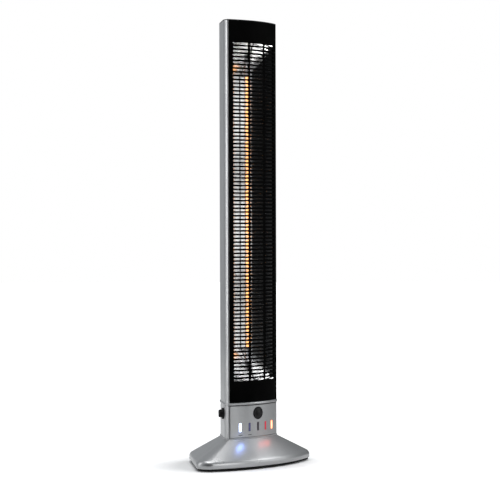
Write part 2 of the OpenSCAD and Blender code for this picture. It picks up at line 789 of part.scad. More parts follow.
// The whole sheet has a flange along each front edge
sheet_line = concat([[-trough_half - trough_flange, trough_front]], trough_line);
function shifted(list, back) = [for (p = list) p + [0, back]];
function trough_points(back, line = trough_line) = concat(shifted(line, back),
    [for (i = [len(line) - 2 : -1 : 0]) [-line[i].x, line[i].y + back]]);
function reversed(list) = [for (i = [len(list) - 1 : -1 : 0]) list[i]];

module reflector() color(steel)
    translate([0, 0, reflector_low]) linear_extrude(reflector_high - reflector_low)
        polygon(concat(trough_points(0, sheet_line), reversed(trough_points(sheet_t, sheet_line))));

// Sloping plate across the trough; a positive slope rises towards the back
module end_plate(z_front, slope) color(steel) difference() {
    intersection() {
        translate([0, 0, column_low]) linear_extrude(column_high - column_low) intersection() {
            polygon(concat(trough_points(-0.3),
                [[trough_half, -column_front], [-trough_half, -column_front]]));
            translate(column_bow) circle(bow_r - grille_t - gap, $fn = bow_fn);
        }
        translate([0, -column_front + 12, z_front]) rotate([slope, 0, 0])
            translate([-column_w / 2, -column_d, -sheet_t / 2]) cube([column_w, 2 * column_d, sheet_t]);
    }
    translate([0, tube_y, column_low])
        cylinder(d = tube_d + 2, h = column_high - column_low, $fn = round_fn);
}

module reflector_end_low() end_plate(window_low, end_slope);
module reflector_end_high() end_plate(window_high, -end_slope);

end_cap_l = 20;
end_cap_d = 21;
end_cap_floor = 6;
tube_low = reflector_low + end_cap_floor;
tube_high = reflector_high - end_cap_floor;
quartz_t = 1.5;
pinch_l = 10;
filament_d = 11;
filament_inset = 92;

module quartz_tube() color([0.9, 0.9, 0.95, 0.5])
    translate([0, tube_y, tube_low]) difference() {
        cylinder(d = tube_d, h = tube_high - tube_low, $fn = round_fn);
        translate([0, 0, pinch_l]) cylinder(d = tube_d - 2 * quartz_t,
            h = tube_high - tube_low - 2 * pinch_l, $fn = round_fn);
    }

module carbon_filament() color([1, 0.55, 0.15])
    translate([0, tube_y, tube_low + filament_inset])
        cylinder(d = filament_d, h = tube_high - tube_low - 2 * filament_inset, $fn = round_fn);

module end_cap() difference() {
    cylinder(d = end_cap_d, h = end_cap_l, $fn = round_fn);
    translate([0, 0, end_cap_floor]) cylinder(d = tube_d, h = end_cap_l, $fn = round_fn);
}

module tube_end_caps() color([0.93, 0.92, 0.88]) {
    translate([0, tube_y, tube_low - end_cap_floor]) end_cap();
    translate([0, tube_y, tube_high + end_cap_floor]) mirror([0, 0, 1]) end_cap();
}

// Plates across the ends of the trough that carry the ceramic caps
holder_t = 1.5;
module tube_holders() color(steel)
    for (z = [tube_low + 4, tube_high - 4 - holder_t])
        translate([0, 0, z]) linear_extrude(holder_t) difference() {
            polygon(concat(trough_points(-0.3), [[trough_half, trough_front - 1],
                [-trough_half, trough_front - 1]]));
            translate([0, tube_y]) circle(d = end_cap_d, $fn = round_fn);
        }

shield_y = trough_back + 12;
shield_w = 64;
shield_low = post_high + 6;
shield_flange_d = 8;
module heat_shield() color(steel) difference() {
    union() {
        translate([-shield_w / 2, shield_y, shield_low])
            cube([shield_w, sheet_t, reflector_high - shield_low]);
        for (s = [-1, 1])
            translate([s * (shield_w / 2 - sheet_t / 2) - sheet_t / 2, shield_y - shield_flange_d,
                shield_low])
                cube([sheet_t, shield_flange_d + sheet_t, reflector_high - shield_low]);
    }
    translate([0, shield_y - cut, column_low + cutout_rise]) rotate([-90, 0, 0])
        cylinder(d = 5, h = 2 * cut + sheet_t, $fn = round_fn);
}

cutout_rise = 150;
cutout_d = 16;
cutout_t = 6;
module thermal_cutout() color(black)
    translate([0, shield_y, column_low + cutout_rise]) rotate([90, 0, 0]) {
        cylinder(d = cutout_d, h = cutout_t, $fn = round_fn);
        translate([0, 0, cutout_t]) cylinder(d = cutout_d - 6, h = 2, $fn = round_fn);
    }

// Two high-temperature leads from the tube's ends down to the terminal block
lead_d = 3;
lead_x = 23.5;
lead_y = post_y;
module lead_wires() color([0.85, 0.3, 0.15]) {
    top = tube_high + 2 * end_cap_floor;
    low = board_low + board_h / 2;
    high_bends = [[0, tube_y, top], [lead_x, lead_y, top]];
    wire([0, tube_y, tube_high + end_cap_floor], high_bends[0], lead_d);
    wire(high_bends[0], high_bends[1], lead_d);
    wire(high_bends[1], [lead_x, lead_y, low], lead_d);
    for (p = high_bends)
        translate(p) sphere(d = lead_d + 1.6, $fn = round_fn);
    wire([0, tube_y, column_low - 12], [0, tube_y, tube_low - end_cap_floor], lead_d);
}

base_cover();
base_plate();
ballast_plate();
rubber_feet();
base_screws();
support_post();
post_bolts();
tip_switch_body();
tip_switch_plunger();
tip_switch_spring();
control_housing();
control_panel();
button_ring();
push_button();
button_spring();
white_lens();
blue_lens();
dark_lens();
red_lens();
amber_lens();
control_board();
board_standoffs();
board_screws();
indicator_leds();
button_switch();
power_relay();
terminal_block();
rotary_switch();
switch_nut();
heat_knob();
cable_gland();
gland_nut();
bead_collar();
column_shell();
column_floor();
front_grille();
top_cap();
back_screws();
reflector();
reflector_end_low();
reflector_end_high();
quartz_tube();
carbon_filament();
tube_end_caps();
tube_holders();
heat_shield();
thermal_cutout();
lead_wires();
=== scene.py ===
"""Free-standing infrared column heater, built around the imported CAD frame."""
import math

import bmesh
import bpy
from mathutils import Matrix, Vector


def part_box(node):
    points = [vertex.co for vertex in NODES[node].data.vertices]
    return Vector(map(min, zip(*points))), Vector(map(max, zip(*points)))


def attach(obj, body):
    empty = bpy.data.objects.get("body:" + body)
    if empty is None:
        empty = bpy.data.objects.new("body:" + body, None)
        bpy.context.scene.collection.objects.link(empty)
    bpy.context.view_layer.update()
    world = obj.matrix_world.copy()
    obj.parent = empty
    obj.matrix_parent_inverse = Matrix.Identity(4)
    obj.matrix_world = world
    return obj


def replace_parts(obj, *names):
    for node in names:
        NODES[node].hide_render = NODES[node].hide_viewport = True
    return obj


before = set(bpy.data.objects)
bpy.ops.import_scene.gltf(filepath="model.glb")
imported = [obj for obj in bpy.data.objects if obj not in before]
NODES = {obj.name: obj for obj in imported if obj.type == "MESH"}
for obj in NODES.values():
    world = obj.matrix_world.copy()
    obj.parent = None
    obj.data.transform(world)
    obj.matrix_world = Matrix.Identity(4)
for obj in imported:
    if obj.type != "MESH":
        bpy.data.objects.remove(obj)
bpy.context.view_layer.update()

SCENE = bpy.context.scene


# ---------------------------------------------------------------- node helpers

class Graph:
    """A material's node tree with a Principled shader and short calls to add nodes."""

    def __init__(self, name):
        self.material = bpy.data.materials.new(name)
        self.material.use_nodes = True
        self.tree = self.material.node_tree
        self.shader = self.tree.nodes["Principled BSDF"]
        self.out = self.tree.nodes["Material Output"]
        self.coord = self.add("ShaderNodeTexCoord").outputs["Object"]

    def add(self, kind, **settings):
        node = self.tree.nodes.new(kind)
        for key, value in settings.items():
            setattr(node, key, value)
        return node

    def link(self, source, target):
        self.tree.links.new(source, target)
        return target

    def set(self, **values):
        """Fixed values on the shader's own sockets; _ stands for a space."""
        for key, value in values.items():
            self.shader.inputs[key.replace("_", " ")].default_value = value

    def mapped(self, scale):
        node = self.add("ShaderNodeMapping")
        node.inputs["Scale"].default_value = scale
        self.link(self.coord, node.inputs["Vector"])
        return node.outputs["Vector"]

    def noise(self, scale, detail=3.0, rough=0.5, stretch=(1, 1, 1)):
        node = self.add("ShaderNodeTexNoise")
        node.inputs["Scale"].default_value = scale
        node.inputs["Detail"].default_value = detail
        node.inputs["Roughness"].default_value = rough
        self.link(self.mapped(stretch), node.inputs["Vector"])
        return node.outputs["Fac"]

    def cells(self, scale):
        node = self.add("ShaderNodeTexVoronoi")
        node.inputs["Scale"].default_value = scale
        self.link(self.coord, node.inputs["Vector"])
        return node

    def ramp(self, fac, stops):
        """stops are (position, (r, g, b)) or (position, grey)."""
        node = self.add("ShaderNodeValToRGB")
        ramp = node.color_ramp
        while len(ramp.elements) < len(stops):
            ramp.elements.new(0.5)
        for element, (position, value) in zip(ramp.elements, stops):
            element.position = position
            element.color = (*value, 1) if isinstance(value, tuple) else (value, value, value, 1)
        self.link(fac, node.inputs["Fac"])
        return node.outputs["Color"]

    def remap(self, fac, low, high, src=(0.3, 0.7)):
        node = self.add("ShaderNodeMapRange")
        node.inputs["From Min"].default_value = src[0]
        node.inputs["From Max"].default_value = src[1]
        node.inputs["To Min"].default_value = low
        node.inputs["To Max"].default_value = high
        self.link(fac, node.inputs["Value"])
        return node.outputs["Result"]

    def mix(self, fac, a, b, blend="MIX"):
        """Mixes two colours; fac, a and b are sockets or values."""
        node = self.add("ShaderNodeMix", data_type="RGBA", blend_type=blend)
        for value, target in ((fac, 0), (a, 6), (b, 7)):
            if isinstance(value, (int, float)):
                node.inputs[target].default_value = value
            elif isinstance(value, tuple):
                node.inputs[target].default_value = (*value, 1)
            else:
                self.link(value, node.inputs[target])
        return node.outputs[2]

    def math(self, operation, a, b):
        node = self.add("ShaderNodeMath", operation=operation)
        for value, target in ((a, 0), (b, 1)):
            if isinstance(value, (int, float)):
                node.inputs[target].default_value = value
            else:
                self.link(value, node.inputs[target])
        return node.outputs[0]

    def bump(self, height, distance, strength=1.0, normal=None):
        node = self.add("ShaderNodeBump")
        node.inputs["Distance"].default_value = distance
        node.inputs["Strength"].default_value = strength
        self.link(height, node.inputs["Height"])
        if normal is not None:
            self.link(normal, node.inputs["Normal"])
        return node.outputs["Normal"]

    def to(self, name, socket):
        self.link(socket, self.shader.inputs[name])


# ---------------------------------------------------------------- materials

def silver_paint():
    """Satin metallic paint: fine flakes, faint orange peel and a little dust in the colour."""
    g = Graph("silver_paint")
    flakes = g.cells(2600)
    flake = g.ramp(flakes.outputs["Color"], [(0.25, (0.36, 0.365, 0.37)), (0.75, (0.46, 0.465, 0.47))])
    cloud = g.ramp(g.noise(9, 4), [(0.35, (0.38, 0.385, 0.39)), (0.65, (0.44, 0.445, 0.45))])
    g.to("Base Color", g.mix(0.5, flake, cloud))
    g.to("Roughness", g.remap(g.noise(22, 5, 0.6), 0.27, 0.36))
    peel = g.bump(g.noise(420, 2), 0.00001, 0.4)
    g.to("Normal", g.bump(flakes.outputs["Distance"], 0.00001, 0.3, peel))
    g.set(Metallic=0.85, Coat_Weight=0.15, Coat_Roughness=0.1)
    return g.material


def black_enamel():
    """Glossy black stove enamel on the grille, with a fine orange peel."""
    g = Graph("black_enamel")
    g.to("Base Color", g.ramp(g.noise(30, 3), [(0.35, 0.0010), (0.65, 0.0022)]))
    g.to("Roughness", g.remap(g.noise(60, 4), 0.34, 0.46))
    g.to("Normal", g.bump(g.noise(500, 2), 0.00002, 0.5))
    g.set(Specular_IOR_Level=0.008)
    return g.material


def moulded_plastic(name, colour, rough, grain=1400.0, depth=0.00004, specular=0.4):
    """Moulded plastic with an eroded grain and slight colour drift."""
    g = Graph(name)
    light = tuple(min(1, c * 1.25 + 0.004) for c in colour)
    g.to("Base Color", g.ramp(g.noise(40, 4), [(0.35, colour), (0.65, light)]))
    g.to("Roughness", g.remap(g.noise(120, 3), rough - 0.05, rough + 0.06))
    g.to("Normal", g.bump(g.cells(grain).outputs["Distance"], depth, 0.6))
    g.set(Specular_IOR_Level=specular)
    return g.material


def glossy_black():
    """Polished black button with very fine scratches in its gloss."""
    g = Graph("glossy_black")
    g.to("Base Color", g.ramp(g.noise(60, 2), [(0.4, 0.004), (0.6, 0.007)]))
    g.to("Roughness", g.remap(g.noise(900, 5, 0.7, (1, 1, 0.1)), 0.16, 0.26))
    g.set(Specular_IOR_Level=0.2)
    return g.material


def sheet_steel(name, base, rough, grain=(1, 1, 1)):
    """Rolled or turned steel with fine drawn lines along the grain."""
    g = Graph(name)
    lines = g.noise(900, 4, 0.6, grain)
    low, high = tuple(c * 0.86 for c in base), tuple(min(1, c * 1.08) for c in base)
    drawn = g.ramp(lines, [(0.3, low), (0.7, high)])
    cloud = g.ramp(g.noise(18, 4), [(0.35, low), (0.65, base)])
    g.to("Base Color", g.mix(0.35, drawn, cloud))
    g.to("Roughness", g.remap(lines, rough - 0.07, rough + 0.09))
    g.to("Normal", g.bump(lines, 0.00001, 0.5))
    g.set(Metallic=1.0)
    return g.material


# Half width of the shade painted along the reflector's fold: fully shaded within the first, unshaded beyond
# the second; the third is the share of the colour left in the painted shade
CREASE_SHADE_CORE, CREASE_SHADE_EDGE, CREASE_SHADE_DARK = 0.0010, 0.0022, 0.06


def polished_aluminium(name, smooth, rough):
    """Bright-rolled reflector sheet with upright rolling lines, a faint heat tint and shade painted dark
    along its fold.
    """
    g = Graph(name)
    lines = g.noise(700, 3, 0.6, (1, 1, 0.012))
    tint = g.ramp(g.noise(6, 3), [(0.35, (0.86, 0.86, 0.87)), (0.65, (0.93, 0.92, 0.90))])
    side = g.add("ShaderNodeSeparateXYZ")
    g.link(g.coord, side.inputs["Vector"])
    away = g.math("ABSOLUTE", side.outputs["X"], 0.0)
    # Painted shade: the base colour is darkened along the fold in the sheet's middle
    crease_shade = g.remap(away, CREASE_SHADE_DARK, 1.0, (CREASE_SHADE_CORE, CREASE_SHADE_EDGE))
    sheet = g.mix(0.3, tint, g.ramp(lines, [(0.3, 0.80), (0.7, 0.94)]))
    g.to("Base Color", g.mix(1.0, sheet, crease_shade, "MULTIPLY"))
    g.to("Roughness", g.remap(lines, smooth, rough))
    g.to("Normal", g.bump(lines, 0.000006, 0.6))
    g.set(Metallic=1.0)
    return g.material


def quartz_glass():
    """Clear quartz with faint drawing streaks."""
    g = Graph("quartz_glass")
    streaks = g.noise(300, 3, 0.5, (1, 1, 0.02))
    g.to("Base Color", g.ramp(streaks, [(0.3, (0.93, 0.93, 0.95)), (0.7, (0.99, 0.99, 1.0))]))
    g.to("Roughness", g.remap(streaks, 0.01, 0.05))
    g.set(Transmission_Weight=1.0, IOR=1.46)
    return g.material


def glowing_carbon():
    """Carbon band at working heat: woven, orange at its edges and yellow where it is hottest."""
    g = Graph("glowing_carbon")
    weave = g.noise(1500, 2, 0.6, (1, 1, 0.4))
    heat = g.ramp(weave, [(0.30, (1.0, 0.32, 0.08)), (0.70, (1.0, 0.55, 0.20))])
    g.to("Base Color", g.ramp(weave, [(0.3, (0.05, 0.02, 0.01)), (0.7, (0.12, 0.05, 0.02))]))
    g.to("Emission Color", heat)
    g.set(Emission_Strength=2.4, Roughness=0.8)
    return g.material


def ceramic():
    """Unglazed steatite: chalky, with fine speckles and heat stains."""
    g = Graph("steatite")
    speckle = g.ramp(g.noise(900, 3, 0.7), [(0.35, (0.62, 0.58, 0.50)), (0.6, (0.82, 0.80, 0.74))])
    stain = g.ramp(g.noise(60, 4), [(0.35, (0.70, 0.63, 0.52)), (0.6, (0.86, 0.84, 0.79))])
    g.to("Base Color", g.mix(0.4, speckle, stain))
    g.to("Roughness", g.remap(g.noise(200, 3), 0.65, 0.85))
    g.to("Normal", g.bump(g.noise(1200, 3), 0.00005, 0.6))
    return g.material


def rubber():
    """Moulded rubber with dust in its grain."""
    g = Graph("rubber")
    dust = [(0.4, (0.018, 0.018, 0.018)), (0.8, (0.06, 0.058, 0.055))]
    g.to("Base Color", g.ramp(g.noise(300, 5, 0.7), dust))
    g.to("Roughness", g.remap(g.noise(80, 3), 0.75, 0.92))
    g.to("Normal", g.bump(g.noise(1500, 3), 0.00008, 0.7))
    return g.material


def cast_iron():
    """Sand-cast ballast with a rough painted skin."""
    g = Graph("cast_iron")
    skin = [(0.3, (0.03, 0.03, 0.032)), (0.7, (0.075, 0.072, 0.07))]
    g.to("Base Color", g.ramp(g.noise(250, 5, 0.7), skin))
    g.to("Roughness", g.remap(g.noise(90, 4), 0.6, 0.85))
    g.to("Normal", g.bump(g.noise(500, 6, 0.7), 0.0004, 0.7))
    g.set(Metallic=0.3)
    return g.material


def circuit_board():
    """Green solder mask with darker tracks under it."""
    g = Graph("circuit_board")
    brick = g.add("ShaderNodeTexBrick", offset=0.5)
    for key, value in {"Scale": 160.0, "Mortar Size": 0.09, "Brick Width": 0.9, "Row Height": 0.28,
                       "Color1": (0.012, 0.12, 0.045, 1), "Color2": (0.015, 0.15, 0.06, 1),
                       "Mortar": (0.03, 0.26, 0.10, 1)}.items():
        brick.inputs[key].default_value = value
    turned = g.add("ShaderNodeMapping")
    turned.inputs["Rotation"].default_value = (math.pi / 2, 0, 0)
    g.link(g.coord, turned.inputs["Vector"])
    g.link(turned.outputs["Vector"], brick.inputs["Vector"])
    g.to("Base Color", brick.outputs["Color"])
    g.to("Roughness", g.remap(g.noise(200, 3), 0.28, 0.42))
    g.to("Normal", g.bump(brick.outputs["Fac"], 0.00003, 0.6))
    return g.material


def sleeve():
    """Braided glass-fibre sleeve over a lead."""
    g = Graph("glass_sleeve")
    wave = g.add("ShaderNodeTexWave", wave_type="BANDS", bands_direction="DIAGONAL")
    wave.inputs["Scale"].default_value = 420
    g.link(g.coord, wave.inputs["Vector"])
    g.to("Base Color", g.ramp(wave.outputs["Fac"], [(0.2, (0.42, 0.13, 0.05)), (0.8, (0.72, 0.32, 0.15))]))
    g.to("Roughness", g.remap(g.noise(300, 3), 0.75, 0.9))
    g.to("Normal", g.bump(wave.outputs["Fac"], 0.0001, 0.7))
    return g.material


# Height of the lenses' middle, and how far from it their light begins and ends to change colour
LENS_Z = sum(corner.z for corner in map(Vector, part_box("dark_lens"))) / 2
LENS_FADE = (0.0012, 0.0096)


def lens(name, body, glow=None, strength=0.0):
    """Tinted lens; a lit one is brightest in the middle of its height. glow is its edge and its core."""
    g = Graph(name)
    dim = tuple(c * 0.75 for c in body)
    g.to("Base Color", g.ramp(g.noise(500, 3), [(0.35, dim), (0.65, body)]))
    g.to("Roughness", g.remap(g.noise(300, 3), 0.16, 0.28))
    g.set(Coat_Weight=0.3, Coat_Roughness=0.08)
    if glow:
        edge, core = glow
        height = g.add("ShaderNodeSeparateXYZ")
        g.link(g.coord, height.inputs["Vector"])
        away = g.math("ABSOLUTE", g.math("SUBTRACT", height.outputs["Z"], LENS_Z), 0.0)
        g.to("Emission Color", g.ramp(g.remap(away, 0, 1, LENS_FADE), [(0.0, core), (1.0, edge)]))
        g.set(Emission_Strength=strength)
    return g.material


PAINT = silver_paint()
ENAMEL = black_enamel()
BLACK = moulded_plastic("black_plastic", (0.006, 0.006, 0.007), 0.42, specular=0.14)
TRAY = moulded_plastic("black_tray", (0.004, 0.004, 0.0045), 0.6, 900, 0.00008, 0.08)
BUTTON = glossy_black()
IVORY = moulded_plastic("ivory_plastic", (0.66, 0.64, 0.56), 0.45)
RELAY = moulded_plastic("relay_blue", (0.02, 0.05, 0.22), 0.4)
LED = moulded_plastic("led_package", (0.78, 0.76, 0.60), 0.3)
ZINC = sheet_steel("zinc_steel", (0.62, 0.62, 0.64), 0.36)
SPRING = sheet_steel("spring_steel", (0.48, 0.48, 0.50), 0.28)
MIRROR = polished_aluminium("polished_trough", 0.13, 0.20)
END_MIRROR = polished_aluminium("polished_ends", 0.20, 0.28)
QUARTZ = quartz_glass()
CARBON = glowing_carbon()
STEATITE = ceramic()
RUBBER = rubber()
IRON = cast_iron()
BOARD = circuit_board()
SLEEVE = sleeve()
WHITE_LENS = lens("white_lens_lit", (0.85, 0.92, 1.0), ((0.42, 0.56, 1.0), (0.62, 0.76, 1.0)), 4.5)
BLUE_LENS = lens("blue_lens_off", (0.10, 0.10, 0.24))
DARK_LENS = lens("dark_lens_off", (0.022, 0.008, 0.02))
RED_LENS = lens("red_lens_dim", (0.40, 0.02, 0.04), ((0.45, 0.01, 0.03), (0.60, 0.02, 0.04)), 0.5)
AMBER_LENS = lens("amber_lens_lit", (1.0, 0.70, 0.42), ((1.0, 0.16, 0.04), (1.0, 0.40, 0.16)), 2.6)

LOOKS = {
    PAINT: ["base_cover", "control_housing", "control_panel", "bead_collar", "column_shell"],
    ENAMEL: ["front_grille"],
    BLACK: ["top_cap", "button_ring", "heat_knob", "cable_gland", "gland_nut", "tip_switch_body",
            "rotary_switch", "button_switch", "thermal_cutout"],
    TRAY: ["base_plate"],
    BUTTON: ["push_button"],
    IVORY: ["tip_switch_plunger", "terminal_block"],
    IRON: ["ballast_plate"],
    ZINC: ["base_screws", "support_post", "post_bolts", "board_standoffs", "board_screws", "switch_nut",
           "column_floor", "back_screws", "tube_holders", "heat_shield"],
    SPRING: ["tip_switch_spring", "button_spring"],
    RUBBER: ["rubber_feet"],
    BOARD: ["control_board"],
    LED: ["indicator_leds"],
    RELAY: ["power_relay"],
    MIRROR: ["reflector"],
    END_MIRROR: ["reflector_end_low", "reflector_end_high"],
    QUARTZ: ["quartz_tube"],
    CARBON: ["carbon_filament"],
    STEATITE: ["tube_end_caps"],
    SLEEVE: ["lead_wires"],
    WHITE_LENS: ["white_lens"],
    BLUE_LENS: ["blue_lens"],
    DARK_LENS: ["dark_lens"],
    RED_LENS: ["red_lens"],
    AMBER_LENS: ["amber_lens"],
}


def dress(node, material):
    """Puts a material on every slot of a CAD node."""
    slots = NODES[node].data.materials
    for i in range(len(slots)):
        slots[i] = material
    if not slots:
        slots.append(material)


for look, nodes in LOOKS.items():
    for node in nodes:
        dress(node, look)


# ---------------------------------------------------------------- pieces that CAD keeps plain

# Edges that turn by more than this stay sharp
SHARP_EDGE = math.radians(48)


def new_piece(name, shape, material):
    """Makes an object of a finished bmesh, dressed and tied to the heater."""
    bmesh.ops.recalc_face_normals(shape, faces=shape.faces)
    mesh = bpy.data.meshes.new(name)
    shape.to_mesh(mesh)
    shape.free()
    mesh.materials.append(material)
    for polygon in mesh.polygons:
        polygon.use_smooth = True
    mesh.set_sharp_from_angle(angle=SHARP_EDGE)
    piece = bpy.data.objects.new(name, mesh)
    SCENE.collection.objects.link(piece)
    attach(piece, "heater")
    return piece


def sweep(shape, rings):
    """Skins closed rings of points one after another and caps both ends."""
    loops = [[shape.verts.new(point) for point in ring] for ring in rings]
    for one, other in zip(loops, loops[1:]):
        for i in range(len(one)):
            j = (i + 1) % len(one)
            shape.faces.new((one[i], one[j], other[j], other[i]))
    shape.faces.new(loops[0])
    shape.faces.new(reversed(loops[-1]))


# Corners of the carbon band's section, as shares of half its thickness and half its width
BAND_SECTION = (1, 0.6), (1, -0.6), (0, -1), (-1, -0.6), (-1, 0.6), (0, 1)


def build_coil():
    """The carbon band, wound as an open helix inside the quartz tube."""
    low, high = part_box("carbon_filament")
    centre = (low + high) / 2
    band_w, band_t, pitch, steps = 0.0032, 0.0009, 0.0068, 20
    radius = (high.x - low.x - band_t) / 2
    turns = (high.z - low.z - band_w) / pitch
    rings = []
    for i in range(int(turns * steps) + 1):
        angle = math.tau * i / steps
        out = Vector((math.cos(angle), math.sin(angle), 0))
        middle = Vector((centre.x, centre.y, low.z + band_w / 2 + pitch * i / steps)) + out * radius
        rings.append([middle + out * a * band_t / 2 + Vector((0, 0, b * band_w / 2))
                      for a, b in BAND_SECTION])
    shape = bmesh.new()
    sweep(shape, rings)
    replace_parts(new_piece("carbon_coil", shape, CARBON), "carbon_filament")


# Radii of the column's bow, lip, shoulder and back corner, and the half width of its back
BOW_RADIUS, LIP_R, SHOULDER_R, BACK_R, BACK_HALF = 0.183, 0.0025, 0.026, 0.0035, 0.0255
# Distance from the ends of the column's bow to where its sides turn towards the back
SIDE_RUN = 0.013
# Radii of the base's bow and corners, and the lean of its sides
BASE_BOW_R, BASE_CORNER_R, BASE_LEAN = 0.358, 0.028, math.radians(37.5)


def round_corner(x, y, radius, start, end):
    """Arc of an outline: its centre, its radius and the angles of its outward normal from the front."""
    return Vector((x, y)), radius, start, end


def base_outline(low, high):
    """Right half of the base's plan as arcs; straight sides lie between arcs."""
    middle = low.y + BASE_BOW_R
    x = high.x - BASE_CORNER_R
    y = middle - math.sqrt((BASE_BOW_R - BASE_CORNER_R) ** 2 - x * x)
    run = (high.y - BASE_CORNER_R - y) / math.cos(BASE_LEAN)
    bow_end, side = math.atan2(x, middle - y), math.pi / 2 + BASE_LEAN
    return [round_corner(0, middle, BASE_BOW_R, 0, bow_end),
            round_corner(x, y, BASE_CORNER_R, bow_end, side),
            round_corner(x - run * math.sin(BASE_LEAN), high.y - BASE_CORNER_R, BASE_CORNER_R,
                         side, math.pi)]


def column_outline():
    """Right half of the column's plan as arcs."""
    half_w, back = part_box("column_shell")[1].x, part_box("column_shell")[1].y
    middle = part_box("front_grille")[0].y + BOW_RADIUS
    x = half_w - LIP_R
    y = middle - math.sqrt((BOW_RADIUS - LIP_R) ** 2 - x * x)
    bend = middle - math.sqrt(BOW_RADIUS ** 2 - half_w ** 2) + SIDE_RUN
    turn = math.atan2(half_w - BACK_HALF, back - bend)
    bow_end, side = math.atan2(x, middle - y), math.pi / 2 + turn
    back_turn = math.pi / 2 - turn
    return [round_corner(0, middle, BOW_RADIUS, 0, bow_end),
            round_corner(x, y, LIP_R, bow_end, math.pi / 2),
            round_corner(half_w - SHOULDER_R, bend - SHOULDER_R * math.tan(turn / 2), SHOULDER_R,
                         math.pi / 2, side),
            round_corner(BACK_HALF - BACK_R * math.tan(back_turn / 2), back - BACK_R, BACK_R,
                         side, math.pi)]


# Base cover: its wall, its shoulder's roll (radius, start height and largest turn), the ease of its foot
WALL, ROLL, RIM, FULL_ROLL, EASE = 0.0024, 0.012, 0.0135, math.radians(66), 0.0025
# Its seat round the column: how far it stands out at the slope's head and above, the ease of its top
SLOPE_OUT, SEAT_OUT, SEAT_EASE = 0.0012, 0.0016, 0.0006
# Its foot inside: the width of the edge that stands on the floor plate, and the fillet behind the rim
FOOT_EDGE, INNER_FILLET = 0.001, 0.003
# Height of the seat above the slope's head, and a small step between the two
SEAT_HIGH, SEAT_STEP = 0.003, 0.0004
# Largest step of the skin's normal, steps over the roll and over the slope, and points that count as one
TURN_STEP, ROLL_POINTS, SLOPE_POINTS, SAME_POINT = math.radians(2.5), 7, 6, 0.00002


def build_skirt():
    """The base's cover as one soft skin that rolls from the rim into the slope, with its inside."""
    low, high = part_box("base_cover")
    outlines = base_outline(low, high), column_outline()
    slope_top = high.z - SEAT_HIGH
    breaks = sorted({0.0, math.pi} | {arc[2] for outline in outlines for arc in outline})
    right = []
    for start, end in zip(breaks, breaks[1:]):
        middle = (start + end) / 2
        arcs = [next(arc for arc in outline if arc[2] <= middle <= arc[3]) for outline in outlines]
        steps = max(1, math.ceil((end - start) / TURN_STEP))
        right += [(start + (end - start) * i / steps, *arcs) for i in range(steps + 1)]

    def profile(turn, base, column):
        """Points from the inside of the top down and up the outside, for one outward normal."""
        normal = Vector((math.sin(turn), -math.cos(turn)))

        def at(arc, inset, z):
            spot = arc[0] + normal * (arc[1] - inset)
            return Vector((spot.x, spot.y, z))

        def rolled(angle):
            """Point of the shoulder's roll where the skin has turned inwards by an angle."""
            return at(base, ROLL * (1 - math.cos(angle)), RIM + ROLL * math.sin(angle))

        reach = (at(base, 0, 0) - at(column, -SLOPE_OUT, 0)).xy.dot(normal)
        # The roll's turn and the slope's lean depend on each other; a few rounds settle both
        angle = FULL_ROLL
        for _ in range(8):
            rise = slope_top - RIM - ROLL * math.sin(angle)
            angle = min(FULL_ROLL, math.atan2(reach - ROLL * (1 - math.cos(angle)), rise))
        foot, head = rolled(angle), at(column, -SLOPE_OUT, slope_top)
        inside = [at(column, SLOPE_OUT, slope_top - WALL),
                  at(base, WALL + INNER_FILLET, RIM + INNER_FILLET),
                  at(base, WALL, low.z), at(base, FOOT_EDGE, low.z)]
        eased = [at(base, 0.08 * EASE, low.z + 0.6 * EASE), at(base, 0, low.z + EASE)]
        shoulder = [rolled(angle * i / ROLL_POINTS) for i in range(ROLL_POINTS)]
        slope = [foot.lerp(head, i / SLOPE_POINTS) for i in range(SLOPE_POINTS + 1)]
        seat = [at(column, -SEAT_OUT, slope_top + SEAT_STEP), at(column, -SEAT_OUT, high.z - SEAT_EASE),
                at(column, -SEAT_EASE, high.z)]
        return inside + eased + shoulder + slope + seat

    half = [profile(*sample) for sample in right]
    flip = Vector((-1, 1, 1))
    around = half + [[point * flip for point in column] for column in reversed(half)]
    shape = bmesh.new()
    sweep(shape, [list(ring) for ring in zip(*around)])
    bmesh.ops.remove_doubles(shape, verts=shape.verts, dist=SAME_POINT)
    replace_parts(new_piece("skirt_skin", shape, PAINT), "base_cover")


# Strips below the lenses: length, height, how far they stand out, place on the panel, steps along them
TICK_LONG, TICK_TALL, TICK_PROUD, TICK_Z, TICK_STEPS = 0.0115, 0.0011, 0.0002, 0.0048, 8


def build_ticks():
    """Thin dark strips on the panel below the first two lenses."""
    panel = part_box("control_panel")[0]
    axis = Vector((0, panel.y + BOW_RADIUS, panel.z + TICK_Z))
    for node in ("white_lens", "blue_lens"):
        low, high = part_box(node)
        middle = math.asin((low.x + high.x) / 2 / BOW_RADIUS)
        rings = []
        for i in range(TICK_STEPS + 1):
            along = i / TICK_STEPS - 0.5
            angle = middle + along * TICK_LONG / BOW_RADIUS
            out = Vector((math.sin(angle), -math.cos(angle), 0))
            foot = axis + out * BOW_RADIUS
            # Height at this step as a share, less towards the rounded ends
            slim = math.sqrt(max(0.15, 1 - abs(2 * along) ** 6))
            rings.append([foot + out * a * TICK_PROUD + Vector((0, 0, b * slim * TICK_TALL / 2))
                          for a, b in ((1, 1), (1, -1), (-1, -1), (-1, 1))])
        shape = bmesh.new()
        sweep(shape, rings)
        new_piece(node.replace("lens", "tick"), shape, BLACK)


build_skirt()
build_coil()
build_ticks()


# ---------------------------------------------------------------- floor, lights and camera

# The floor: a disc of this radius and number of sides
FLOOR_RADIUS, FLOOR_SIDES = 14, 96
# Its glow, as of a lit table: near the heater, at the end of its fade, and the fade's radius in metres
FLOOR_NEAR, FLOOR_FAR, FLOOR_FADE = 0.34, 1.0, 2.0
# The fade starts at its radius and is full where this share of it is left
FADE_STEP = (0.0, 0.85)
# A painted shadow: it doesn't glow under and around the base; half sizes of an ellipse, and the shares of
# it where the glow sets in
PAINTED_SHADOW_REACH, PAINTED_SHADOW_STEP = (0.30, 0.22, 1.0), (0.22, 0.50)
